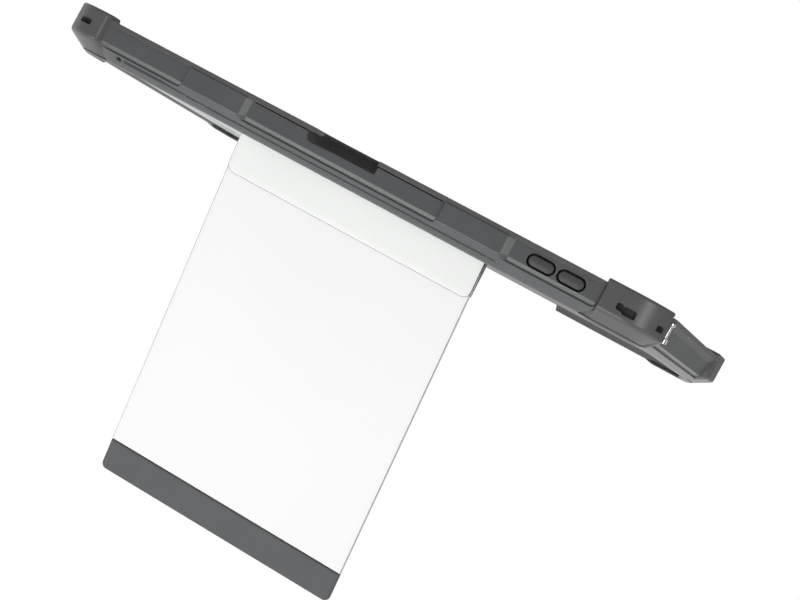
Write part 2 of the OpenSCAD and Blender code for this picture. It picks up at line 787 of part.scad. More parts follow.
// Thin end of the plate that the foot is moulded round
module tongue(s0) {
    block([-stand_w / 2 + tongue_in, s0, tongue_low],
        [stand_w / 2 - tongue_in, foot_start + tongue_len, tongue_low + tongue_t]);
}
module stand_plate() {
    color([0.96, 0.96, 0.96]) opened() difference() {
        union() {
            block([-stand_w / 2, leaf_start, plate_low], [stand_w / 2, foot_start, plate_top]);
            tongue(foot_start - eps);
        }
        for (x = rivet_xs)
            translate([x, rivet_s, 0]) cylinder(h = rivet_top, r = rivet_r + press);
        for (s = [-1, 1]) translate([s * magnet_x, magnet_s, plate_low + 0.2])
            cylinder(h = magnet_t, r = magnet_r);
    }
}
module stand_magnets() {
    color([0.5, 0.5, 0.52]) opened() for (s = [-1, 1])
        translate([s * magnet_x, magnet_s, plate_low + 0.2]) cylinder(h = magnet_t, r = magnet_r - press);
}
module stand_foot() {
    color([0.38, 0.4, 0.4]) opened() difference() {
        intersection() {
            run_x(0, stand_w) {
                translate([foot_start, foot_low]) square([foot_len - foot_t / 2, foot_t]);
                translate([foot_s, foot_n]) circle(foot_t / 2);
            }
            linear_extrude(foot_low + foot_t + 1) stand_shape(foot_start, stand_len, foot_corner_r);
        }
        tongue(foot_start - 1);
    }
}

armour_frame();
front_bezel();
bumper_top_right();
bumper_top_left();
bumper_bottom_right();
bumper_bottom_left();
back_shell();
back_panel();
scoop_liner();
rim_screws();
tether_post();
chassis();
cover_glass();
glass_gasket();
display_panel();
midplate();
battery_left();
battery_right();
mainboard();
processor();
heat_spreader();
ssd_module();
radio_module();
speaker_left();
speaker_right();
antenna_left();
antenna_right();
front_camera();
rear_camera();
rear_camera_ring();
rear_camera_window();
port_board();
usb_connectors();
key_board();
tact_switches();
power_key();
volume_key();
stand_bracket();
bracket_screws();
hinge_shaft();
friction_washers();
keeper_discs();
hinge_leaf();
leaf_rivets();
hinge_housing();
hinge_cover();
stand_plate();
stand_magnets();
stand_foot();
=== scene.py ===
"""Looks of the field data collector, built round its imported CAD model.

Lengths inside this script are millimetres in two frames of the object's own. The tablet frame has
X to the user's right, Y up the tablet from its bottom edge and Z out of the screen, with 0 at the
front face. The stand frame has its origin on the hinge axis, Y along the stand towards its foot and
Z out of its outer face.
"""

import json
import math

import bmesh
import bpy
import numpy as np
from mathutils import Matrix, Vector

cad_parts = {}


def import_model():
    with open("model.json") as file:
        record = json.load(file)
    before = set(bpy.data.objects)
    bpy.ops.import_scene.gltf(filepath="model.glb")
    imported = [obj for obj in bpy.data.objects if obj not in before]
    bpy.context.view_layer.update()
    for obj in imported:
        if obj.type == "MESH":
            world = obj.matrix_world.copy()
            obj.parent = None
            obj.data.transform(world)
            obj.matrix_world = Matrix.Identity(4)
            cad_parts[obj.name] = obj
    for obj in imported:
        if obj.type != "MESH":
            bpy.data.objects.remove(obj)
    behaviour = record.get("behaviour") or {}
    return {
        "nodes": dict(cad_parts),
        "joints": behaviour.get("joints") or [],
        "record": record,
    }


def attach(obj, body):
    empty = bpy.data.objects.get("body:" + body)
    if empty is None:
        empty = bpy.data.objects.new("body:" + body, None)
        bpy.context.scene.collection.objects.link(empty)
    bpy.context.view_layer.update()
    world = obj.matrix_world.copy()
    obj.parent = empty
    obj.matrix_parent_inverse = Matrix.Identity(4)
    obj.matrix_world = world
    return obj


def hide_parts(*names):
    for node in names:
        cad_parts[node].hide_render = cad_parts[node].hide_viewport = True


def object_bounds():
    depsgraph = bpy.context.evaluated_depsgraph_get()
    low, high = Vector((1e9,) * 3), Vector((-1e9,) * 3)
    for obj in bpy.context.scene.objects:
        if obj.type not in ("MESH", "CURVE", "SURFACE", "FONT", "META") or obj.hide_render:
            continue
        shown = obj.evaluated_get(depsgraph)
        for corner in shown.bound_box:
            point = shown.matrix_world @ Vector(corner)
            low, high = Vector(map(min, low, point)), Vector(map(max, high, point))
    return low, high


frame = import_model()
cad_low, cad_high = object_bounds()

MM = 0.001
JOINTS = {j["name"]: j for j in frame["joints"]}
MOUNTS = {m["name"]: m for m in frame["record"]["mounts"]}
NODE_SLOTS = {s["node"]: s["material_slot"] for s in frame["record"]["subparts"]}


# ---------------------------------------------------------------- the object's own frames

def node_points(name):
    """All vertices of a CAD node, in metres in the row frame."""
    mesh = frame["nodes"][name].data
    points = np.zeros(len(mesh.vertices) * 3)
    mesh.vertices.foreach_get("co", points)
    return points.reshape(-1, 3)


class Axes:
    """A frame of the object's own: an origin in metres and three unit axes in the row frame."""

    def __init__(self, origin, x_axis, y_axis):
        self.origin = np.array(origin, float)
        x_axis, y_axis = np.array(x_axis, float), np.array(y_axis, float)
        self.turn = np.stack([x_axis, y_axis, np.cross(x_axis, y_axis)])

    def place(self, points):
        """Millimetres along the axes, as metres in the row frame."""
        return self.origin + np.asarray(points, float) @ self.turn * MM

    def box(self, node):
        """Lowest and highest corner of a CAD node along the axes, in millimetres."""
        points = (node_points(node) - self.origin) @ self.turn.T / MM
        return points.min(0), points.max(0)

    def turned(self, degrees, origin):
        """The same frame turned about its X axis, with another origin."""
        a = math.radians(degrees)
        y_axis = math.cos(a) * self.turn[1] + math.sin(a) * self.turn[2]
        return Axes(origin, self.turn[0], y_axis)


back_out = np.array(MOUNTS["back_corner"]["axis"], float)
across = np.array([1.0, 0.0, 0.0])
up_tablet = np.cross(-back_out, across)
tablet = Axes((0, 0, 0), across, up_tablet)
bottom_edge = tablet.box("bumper_bottom_right")[0][1]
front_face = tablet.box("front_bezel")[1][2]
tablet = Axes(tablet.place((0, bottom_edge, front_face)), across, up_tablet)

hinge = JOINTS["stand_hinge"]
stand_open = -hinge["range_deg"][0]
stand = tablet.turned(180 + stand_open, hinge["pos_m"])


# ---------------------------------------------------------------- driving sizes
# Insets count inwards from the outline of the bumpers. Depths are Z in the tablet frame.

half_w = tablet.box("bumper_top_right")[1][0]
tall = tablet.box("bumper_top_right")[1][1]
corner_r = 20.0
lip_up = tablet.box("bumper_top_right")[1][2]
bumper_back = tablet.box("bumper_top_right")[0][2]
core_in = 2.4                   # level of the recessed panels
sunk_in = 3.6                   # where a bumper's ends run out inside the armour
bumper_tail = 6.8               # how far a bumper goes on under the armour past each of its ends
bumper_shift = 6.5              # how much further out its ends lie at the back than on the wall

# section of the armour
wall_in = tall - tablet.box("armour_frame")[1][1]
shoulder = -11.5                # depth where the wall turns into the chamfer
rim_back = tablet.box("armour_frame")[0][2]
rim_in = 8.5                    # the flat back rim goes from here
rim_flat_in = 13.0              # to here
skirt_bend = (14.2, -16.0)      # inset and depth where the skirt inside the rim changes slope
skirt_in = 15.8
pale_skirt_x = 60               # the skirt takes the back panel's finish beyond this X
inner_in = 9.8
inner_back = -11.6
panel_back = tablet.box("back_panel")[0][2]
chamfer_run = rim_in - wall_in
chamfer_drop = shoulder - rim_back
chamfer_len = math.hypot(chamfer_run, chamfer_drop)

# front bezel
bezel_in = half_w - tablet.box("front_bezel")[1][0]
bezel_low = tablet.box("front_bezel")[0][2]
bezel_open_in = 15.0
bezel_skin = 0.25               # gap between a recess in the armour and the bezel behind it

# finger scoop of the top edge
liner_low, liner_high = tablet.box("scoop_liner")
scoop_x = (liner_low[0] + liner_high[0]) / 2
scoop_half = (liner_high[0] - liner_low[0]) / 2
scoop_low = -6.5
scoop_deep = tall - core_in - liner_low[1]

# recessed panels: of the top edge, the -X end and the +X end where a slanted facet starts, and of
# the left-hand side, distances up the tablet; the levels are pairs of a depth and an inset
facet = 3.4
panels = [(88.5, 137.0), (-46.8, 54.5), (-126.0, -81.8)]
side_panel = (47.0, 217.0)
side_facet = 1.6
ledge_end = -12.8
top_levels = [(bezel_low, core_in), (-10.2, core_in), (-11.9, 3.05), (-12.4, 2.75),
              (ledge_end, 2.2)]
side_levels = [(bezel_low, bezel_in + 0.1), (-5.0, core_in), (-12.8, 4.0), (-14.4, 6.3),
               (-15.2, 5.5)]

# openings in the wall
seam_x, seam_half = 4, 49       # dark seam between armour and bezel along the middle panel
usb_ys = (92.0, 110.0)
usb_z, usb_half_w, usb_half_h = -7.0, 5.5, 1.9
post_y, post_half = 213.2, 4.2  # pocket round the tether post, up the left-hand side
post_z, post_half_z = -6.5, 5.2

# groove and screw holes of the chamfer, at distances down it from the shoulder
groove_at = 5.6
groove_x = (-83.0, 120.0)
screw_x, low_screw_xs = 123.5, (-100, 100)
screw_at, screw_r = 5.0, 1.5

# notch of the bottom rim for the folded foot
notch_z = -14.45
stand_x = hinge["pos_m"][0] / MM
foot_half = stand.box("stand_foot")[1][0]
foot_room = 0.9

# keys
key_low, key_high = tablet.box("power_key")
key_z = (key_low[2] + key_high[2]) / 2
key_xs = [(b[0][0] + b[1][0]) / 2 for b in (tablet.box("power_key"), tablet.box("volume_key"))]
key_len = key_high[0] - key_low[0]
key_tall = key_high[2] - key_low[2]
key_gap = 0.85
key_out = key_high[1]


# ---------------------------------------------------------------- surfaces

def smooth(t):
    """Eases from 0 to 1 as t goes from 0 to 1."""
    t = np.clip(t, 0, 1)
    return t * t * (3 - 2 * t)


def outline(a):
    """Points of the tablet's outline and the inward directions there, at distances a along it from
    the middle of the top edge towards +X: straight runs joined by quarter circles of corner_r."""
    a = np.asarray(a, float) % outline_length
    point = np.stack([np.zeros_like(a), np.full_like(a, tall)], -1)
    heading, inward = np.array([1.0, 0.0]), np.array([0.0, -1.0])
    turned = np.zeros_like(a)
    start = 0.0
    for run in outline_runs:
        point = point + np.clip(a - start, 0, run)[..., None] * heading
        start += run
        angle = np.clip((a - start) / corner_r, 0, math.pi / 2)
        point = point + corner_r * (np.sin(angle)[..., None] * heading
                                    + (1 - np.cos(angle))[..., None] * inward)
        start += corner_r * math.pi / 2
        turned += angle
        heading, inward = inward, -heading
    return point, np.stack([-np.sin(turned), -np.cos(turned)], -1)


straight_w = half_w - corner_r
straight_h = tall - 2 * corner_r
quarter = corner_r * math.pi / 2
outline_runs = [straight_w, straight_h, 2 * straight_w, straight_h, straight_w]
outline_length = 4 * straight_w + 2 * straight_h + 4 * quarter
side_right = straight_w + quarter               # where the right-hand side starts
bottom = side_right + straight_h + quarter      # where the bottom edge starts
side_left = bottom + 2 * straight_w + quarter   # where the left-hand side starts, at its low end
top_left = side_left + straight_h + quarter     # where the top edge starts again


def profile(corners, runs, turn=4):
    """Closed section through corners (inset, z, cut): each corner is turned into a quadratic curve
    that starts and ends a cut away from it, and each straight run is cut into equal steps."""
    spots = np.array([c[:2] for c in corners], float)
    cuts = np.array([c[2] for c in corners], float)
    points = []
    for i, spot in enumerate(spots):
        before, after = spots[i - 1], spots[(i + 1) % len(spots)]
        to_before = (before - spot) / np.linalg.norm(before - spot)
        to_after = (after - spot) / np.linalg.norm(after - spot)
        t = np.linspace(0, 1, turn + 1)[:, None]
        first, last = spot + to_before * cuts[i], spot + to_after * cuts[i]
        points.append((1 - t) ** 2 * first + 2 * t * (1 - t) * spot + t ** 2 * last)
        end = after - to_after * cuts[(i + 1) % len(spots)]
        steps = np.linspace(0, 1, runs[i] + 1)[1:-1, None]
        points.append(last + (end - last) * steps)
    return np.concatenate(points)


def stations(low, high, coarse, fine, places):
    """Positions from low to high that are `fine` apart near each (middle, reach) and `coarse` apart
    elsewhere."""
    x = np.arange(low, high, fine)
    places = np.array(places, float).reshape(-1, 2)
    near = (np.abs(x[:, None] - places[:, 0]) < places[:, 1]).any(1)
    return x[near | (np.arange(len(x)) % round(coarse / fine) == 0)]


def carried(columns, inset, z):
    """Points of a section carried round the tablet's outline: at each distance along it, inset
    millimetres in from the edge and z out of the front face. Rows are the section and columns the
    path."""
    point, inward = outline(columns)
    flat = point[None] + inset[..., None] * inward[None]
    return np.concatenate([flat, np.broadcast_to(z, inset.shape)[..., None]], -1)


def grid_faces(rows, columns, wrap_rows, wrap_columns):
    """Four-cornered faces between neighbouring rows and columns of a grid of points."""
    index = np.arange(rows * columns).reshape(rows, columns)
    if wrap_rows:
        index = np.vstack([index, index[:1]])
    if wrap_columns:
        index = np.hstack([index, index[:, :1]])
    faces = np.stack([index[:-1, :-1], index[:-1, 1:], index[1:, 1:], index[1:, :-1]], -1)
    return faces.reshape(-1, 4).tolist()


def piece(name, axes, points, faces, slot, body, replaced, zones=(), sharp=40):
    """Makes one closed piece from a grid of points in millimetres: doubles are merged, faces turned
    outwards and edges sharper than an angle in degrees kept crisp. Each zone is another finish and
    a grid that is true where the faces that start there take it."""
    mesh = bpy.data.meshes.new(name)
    mesh.from_pydata(axes.place(points.reshape(-1, 3)).tolist(), [], faces)
    mesh.materials.append(FINISHES[slot])
    starts = np.array([face[0] for face in faces])
    index = np.zeros(len(faces), np.int32)
    for finish, where in zones:
        mesh.materials.append(FINISHES[finish])
        index[where.reshape(-1)[starts]] = len(mesh.materials) - 1
    mesh.polygons.foreach_set("material_index", index)
    shell = bmesh.new()
    shell.from_mesh(mesh)
    bmesh.ops.remove_doubles(shell, verts=shell.verts, dist=2e-6)
    bmesh.ops.recalc_face_normals(shell, faces=shell.faces)
    shell.to_mesh(mesh)
    shell.free()
    mesh.shade_smooth()
    mesh.set_sharp_from_angle(angle=math.radians(sharp))
    made = bpy.data.objects.new(name, mesh)
    bpy.context.scene.collection.objects.link(made)
    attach(made, body)
    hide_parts(*replaced)
    return made


def tube_faces(rows, columns):
    """Faces of a closed section along an open path, with a face across each end."""
    faces = grid_faces(rows, columns, True, False)
    ring = np.arange(rows) * columns
    return faces + [ring.tolist(), (ring + columns - 1)[::-1].tolist()]


def stack_faces(rows, columns):
    """Faces of a stack of closed rings, with a face across the first and the last."""
    faces = grid_faces(rows, columns, False, True)
    ring = np.arange(columns)
    return faces + [ring.tolist(), (ring + (rows - 1) * columns)[::-1].tolist()]


def pit(distance, deep, soft=0.35):
    """Depth of a recess with soft sides, from the signed distance to its edge."""
    return deep * smooth(-distance / soft)


def slot_distance(x, y, half_x, half_y, r):
    """Signed distance to a rectangle about the origin with corners of radius r."""
    dx, dy = np.abs(x) - half_x + r, np.abs(y) - half_y + r
    outside = np.hypot(np.maximum(dx, 0), np.maximum(dy, 0))
    return outside + np.minimum(np.maximum(dx, dy), 0) - r


# ---------------------------------------------------------------- finishes

def tint(colour, share):
    """A colour made lighter or darker by a share of itself."""
    return tuple(min(1.0, c * (1 + share)) for c in colour[:3]) + (1.0,)


class Finish:
    """A node material with a noise that mottles its colour and a finer one that gives its grain."""

    def __init__(self, name, colour, rough, mottle=0.06, mottle_size=14.0, grain=0.35,
                 grain_deep=0.01, metal=0.0, stretch=(1, 1, 1), rough_spread=0.06, **sockets):
        self.material = bpy.data.materials.new(name)
        self.material.use_nodes = True
        self.nodes = self.material.node_tree.nodes
        self.links = self.material.node_tree.links
        self.shader = self.nodes["Principled BSDF"]
        self.shader.inputs["Metallic"].default_value = metal
        for socket, value in sockets.items():
            self.shader.inputs[socket.replace("_", " ")].default_value = value
        self.place = self.nodes.new("ShaderNodeTexCoord").outputs["Object"]
        stretched = self.nodes.new("ShaderNodeMapping")
        stretched.inputs["Scale"].default_value = stretch
        self.links.new(self.place, stretched.inputs["Vector"])
        self.pattern_place = stretched.outputs["Vector"]
        broad = self.noise(mottle_size, 3.0)
        fine = self.noise(grain, 2.0)
        self.links.new(self.ramp(broad, tint(colour, -mottle), tint(colour, mottle)),
                       self.shader.inputs["Base Color"])
        self.links.new(self.spread(fine, rough - rough_spread, rough + rough_spread),
                       self.shader.inputs["Roughness"])
        bump = self.nodes.new("ShaderNodeBump")
        bump.inputs["Strength"].default_value = 1.0
        bump.inputs["Distance"].default_value = grain_deep * MM
        self.links.new(fine, bump.inputs["Height"])
        self.links.new(bump.outputs["Normal"], self.shader.inputs["Normal"])

    def noise(self, size, detail):
        """Noise whose features are about `size` millimetres across."""
        node = self.nodes.new("ShaderNodeTexNoise")
        node.inputs["Scale"].default_value = 1 / (size * MM)
        node.inputs["Detail"].default_value = detail
        self.links.new(self.pattern_place, node.inputs["Vector"])
        return node.outputs["Fac"]

    def across(self, source, low, high, inverse=False):
        """0 to 1 as the size of a vector's X goes from low to high, or its negative with inverse."""
        parts = self.nodes.new("ShaderNodeSeparateXYZ")
        self.links.new(source, parts.inputs["Vector"])
        size = self.nodes.new("ShaderNodeMath")
        size.operation = "MULTIPLY" if inverse else "ABSOLUTE"
        size.inputs[1].default_value = -1.0
        self.links.new(parts.outputs["X"], size.inputs[0])
        return self.spread(size.outputs["Value"], 0, 1, low, high)

    def matte_sides(self, rough, shine):
        """Coarser, duller grain on faces that look sideways, as on the two short sides."""
        facing = self.nodes.new("ShaderNodeNewGeometry").outputs["Normal"]
        sideways = self.across(facing, 0.6, 0.95)
        for socket, value in (("Roughness", rough), ("Specular IOR Level", shine)):
            mix = self.nodes.new("ShaderNodeMix")
            self.links.new(sideways, mix.inputs["Factor"])
            if self.shader.inputs[socket].is_linked:
                self.links.new(self.shader.inputs[socket].links[0].from_socket, mix.inputs["A"])
            else:
                mix.inputs["A"].default_value = self.shader.inputs[socket].default_value
            mix.inputs["B"].default_value = value
            self.links.new(mix.outputs["Result"], self.shader.inputs[socket])
        return self

    def painted_shade_side(self, colour, x_from, x_to):
        """A darker colour painted on the -X side as shade, standing in for the dim reflection of the
        shaded floor there: it sets in as X goes from x_from down to x_to.
        """
        mix = self.nodes.new("ShaderNodeMix")
        mix.data_type = "RGBA"
        share = self.across(self.place, -x_from * MM, -x_to * MM, True)
        self.links.new(share, mix.inputs["Factor"])
        self.links.new(self.shader.inputs["Base Color"].links[0].from_socket, mix.inputs[6])
        mix.inputs[7].default_value = tuple(colour) + (1.0,)
        self.links.new(mix.outputs[2], self.shader.inputs["Base Color"])
        return self

    def ramp(self, value, low, high):
        """Colour that goes from low to high as the value goes through its usual range."""
        node = self.nodes.new("ShaderNodeValToRGB")
        node.color_ramp.elements[0].position = 0.3
        node.color_ramp.elements[1].position = 0.7
        node.color_ramp.elements[0].color = low
        node.color_ramp.elements[1].color = high
        self.links.new(value, node.inputs["Fac"])
        return node.outputs["Color"]

    def spread(self, value, low, high, from_low=0.0, from_high=1.0):
        """The value carried over to a range from low to high."""
        node = self.nodes.new("ShaderNodeMapRange")
        node.inputs["From Min"].default_value = from_low
        node.inputs["From Max"].default_value = from_high
        node.inputs["To Min"].default_value = low
        node.inputs["To Max"].default_value = high
        self.links.new(value, node.inputs["Value"])
        return node.outputs["Result"]


def linear(grey, warm=0.0):
    """Linear colour from a display grey of 0 to 255, warmer (or cooler, below 0) by a share."""
    value = (grey / 255) ** 2.2
    return (value * (1 + warm), value, value * (1 - warm))


FINISHES = {
    "armour": Finish("moulded_armour", linear(84, -0.03), 0.38, mottle=0.05, grain=0.4,
                     grain_deep=0.012).matte_sides(0.6, 0.06),
    "bezel": Finish("bezel_plastic", linear(84), 0.42, mottle=0.04, grain=0.3,
                    grain_deep=0.008).matte_sides(0.6, 0.06),
    "bumper": Finish("moulded_bumper", linear(84), 0.36, mottle=0.05, grain=0.4,
                     grain_deep=0.012).matte_sides(0.6, 0.06),
    "shell": Finish("inner_shell_plastic", linear(76), 0.55),
    # the back panel's -X side is darker: painted shade standing in for the dim reflection of the
    # shaded floor there
    "back_panel": Finish("satin_back_panel", linear(200, -0.02), 0.6, mottle=0.02,
                         stretch=(0.1, 1, 1), grain=0.2,
                         grain_deep=0.002).painted_shade_side(linear(120), 68, 66),
    # dark grey of the scoop liner, also given to the pits, slots and cover edges: painted shade
    # where those hollows and gaps fall into shade
    "liner": Finish("scoop_rubber_and_painted_shade", linear(40), 0.7, mottle=0.05, grain=0.5),
    "dark_screw": Finish("blackened_screw", linear(50), 0.4, metal=0.6, grain=0.15,
                         grain_deep=0.004),
    "steel": Finish("bright_steel", linear(175), 0.22, metal=1.0, mottle=0.03, mottle_size=3.0,
                    grain=0.2, grain_deep=0.002, rough_spread=0.03),
    "chassis": Finish("chassis_alloy", linear(52), 0.45, metal=0.5),
    "screen_glass": Finish("screen_glass", linear(20), 0.08, mottle=0.02, grain=2.0,
                           grain_deep=0.0005, rough_spread=0.02, Coat_Weight=0.6),
    "gasket": Finish("black_gasket", linear(30), 0.7),
    "display": Finish("dark_display", linear(26, -0.1), 0.2, mottle=0.02),
    "inner_metal": Finish("inner_plate_metal", linear(190), 0.35, metal=0.9),
    "cell": Finish("cell_wrap", linear(120, -0.05), 0.4),
    "circuit": Finish("circuit_board", (0.01, 0.09, 0.04), 0.4, mottle=0.2, mottle_size=3.0),
    "chip": Finish("chip_black", linear(40), 0.4),
    "copper": Finish("heat_copper", (0.6, 0.26, 0.14), 0.3, metal=1.0),
    "key": Finish("key_rubber", linear(70), 0.45, mottle=0.04, grain=0.3, grain_deep=0.01),
    "hinge_steel": Finish("hinge_steel", linear(180), 0.3, metal=1.0, grain=0.2, grain_deep=0.003),
    "hinge_plastic": Finish("hinge_plastic", linear(70), 0.45),
    "cover_white": Finish("cover_paint", (0.80, 0.815, 0.80), 0.35, mottle=0.012, mottle_size=40.0,
                          grain=0.25, grain_deep=0.004),
    "stand_white": Finish("stand_paint", (0.87, 0.87, 0.87), 0.45, mottle=0.01, mottle_size=60.0,
                          grain=0.25, grain_deep=0.003),
    "foot": Finish("foot_rubber", linear(82, -0.05), 0.6, mottle=0.05, grain=0.5, grain_deep=0.02),
}
FINISHES = {name: finish.material for name, finish in FINISHES.items()}
for node, made in frame["nodes"].items():
    made.data.materials.clear()
    made.data.materials.append(FINISHES[NODE_SLOTS[node]])


# ---------------------------------------------------------------- armour band

def recessed(inset, z, levels):
    """The section's inset where it is recessed, from pairs of a depth and an inset there: the wall
    goes in, then a sloping ledge runs in under it and a step brings it back out to the chamfer."""
    depths, insets = np.array(levels).T
    return np.maximum(inset, np.interp(-z, -depths, insets, left=0.0, right=0.0))


def panel_share(a, z, low, high, slope, corner=2.6, edge=1.0):
    """How far a panel is recessed, 0 to 1: a quick rise at its low end, which curves away at the
    panel's lower corner, and a straight slope over `slope` millimetres at its high end."""
    down = np.clip(z - ledge_end, 0, corner)
    curve = corner - np.sqrt(np.maximum(corner ** 2 - (corner - down) ** 2, 0))
    return smooth((a - low - curve) / edge) * np.clip((high + slope - a) / slope, 0, 1)


def signed_x(a):
    """Distance along the outline from the middle of the top edge, negative towards -X."""
    return (np.asarray(a) + outline_length / 2) % outline_length - outline_length / 2


def scoop_depth(x, z):
    """Depth of the finger scoop: it deepens upwards from its lip, which lies lower towards +X. Its
    +X end slopes in over a long run and its -X end is short and round."""
    lip = scoop_low - 0.9 * smooth((x - scoop_x) / scoop_half)
    rise = np.clip((z - lip) / (-1.5 - lip), 0, 1) ** 1.2
    near = np.clip((scoop_x + scoop_half - x) / 15.0, 0, 1)
    far = np.clip((x - scoop_x + scoop_half) / 2.5, 0, 1)
    return scoop_deep * rise * smooth(near) * np.sqrt(1 - (1 - far) ** 2)


# each bumper's start and end round the outline, and the lengths that those ends slope over
bumper_ends = {
    "top_right": (straight_w - 5, side_right + 14, 4.6, 1.6),
    "bottom_right": (bottom - quarter - 22, bottom + 14, 1.6, 1.6),
    "bottom_left": (side_left - quarter - 14, side_left + 22, 1.6, 1.6),
    "top_left": (top_left - quarter + 8.2, top_left + 13, 1.6, 1.6),
}


def bumper_share(a, down, ends):
    """How far a bumper stands out at a distance round the outline, 0 to 1, with `down` going from 0
    on the wall to 1 at the back. Its ends slope over a short run on the wall and, lower on the
    chamfer, over a longer run that reaches further out."""
    start, stop, first, last = ends
    shift = bumper_shift * smooth(down)
    a = np.asarray(a)
    rise = (a - start + shift) / (first + shift)
    fall = (stop + shift - a) / (last + shift)
    return smooth(rise) * smooth(fall)


def armour_columns():
    """Distances round the outline at which the armour's section stands: close together near the
    ends of each feature and round the corners, and far apart between."""
    top = [(x, 3.0) for low, high in panels for x in (low, high + facet / 2)]
    top += [(x, 4.0) for x in (scoop_x - scoop_half, scoop_x + scoop_half)]
    top += [(x, 8.0) for x in key_xs] + [(x, 3.5) for x in groove_x]
    top += [(screw_x, 2.5), (-78, 6), (95, 16)]
    right = [(side_right + tall - corner_r - y, usb_half_w + 0.8) for y in usb_ys]
    low = [(bottom + straight_w + x, 2.4) for x in low_screw_xs]
    low += [(bottom + straight_w - stand_x + x, 1.5) for x in (-foot_half - 1, foot_half + 1)]
    left = [(side_left + y - corner_r, 4.0) for y in side_panel]
    return np.sort(np.concatenate([
        stations(-straight_w, straight_w, 4.8, 0.3, top) % outline_length,
        stations(straight_w, side_right, 1.6, 1.6, []),
        stations(side_right, bottom - quarter, 6.0, 0.3, right),
        stations(bottom - quarter, bottom, 1.6, 1.6, []),
        stations(bottom, bottom + 2 * straight_w, 6.0, 0.3, low),
        stations(bottom + 2 * straight_w, side_left, 1.6, 1.6, []),
        stations(side_left, top_left - quarter, 6.0, 0.4, left),
        stations(top_left - quarter, top_left, 1.6, 0.4, [(top_left - quarter, 14)])]))


def wall_wells(columns, x, z, outer):
    """Depth of the pits that go in through the wall: a stadium round each key, a rounded rectangle
    for each socket and another for the pocket of the tether post."""
    wall = outer & (z < bezel_low - 0.1) & (z > shoulder + 0.2)
    wells = np.zeros(outer.shape)
    for key_x in key_xs:
        apart = slot_distance(x - key_x, z - key_z, key_len / 2 + key_gap, key_tall / 2 + key_gap,
                              key_tall / 2 + key_gap)
        wells = wells + np.where(wall, pit(apart, 3.0, 0.3), 0)
    up_right = side_right + tall - corner_r - columns[None]
    for usb_y in usb_ys:
        opening = slot_distance(up_right - usb_y, z - usb_z, usb_half_w, usb_half_h, 1.2)
        wells = wells + np.where(outer, pit(opening, 9.0, 0.25), 0)
    up_left = (columns - side_left + corner_r)[None]
    pocket = slot_distance(up_left - post_y, z - post_z, post_half, post_half_z, 1.0)
    return wells + np.where(outer & (z > shoulder - 1), pit(pocket, 4.6, 1.2), 0)


def groove_distance(x, down):
    """Signed distance to the groove along the chamfer: it bends up towards both of its ends, widens
    towards +X and narrows towards -X."""
    middle = groove_at - 1.0 * smooth((x - 75) / 30) - 1.5 * smooth((-76 - x) / 8) ** 2
    width = 0.62 + 0.5 * smooth((x - 88) / 20) - 0.45 * smooth((-70 - x) / 14)
    run = np.maximum(np.maximum(groove_x[0] - x, x - groove_x[1]), 0)
    return np.hypot(down - middle, run) - width


def hole_distance(columns, x, down):
    """Signed distance to the nearest screw hole of the chamfer."""
    holes = np.hypot(x - screw_x, down - screw_at) - screw_r
    for low_x in low_screw_xs:
        along = columns[None] - bottom - straight_w - low_x
        holes = np.minimum(holes, np.hypot(along, down - screw_at) - screw_r)
    return holes


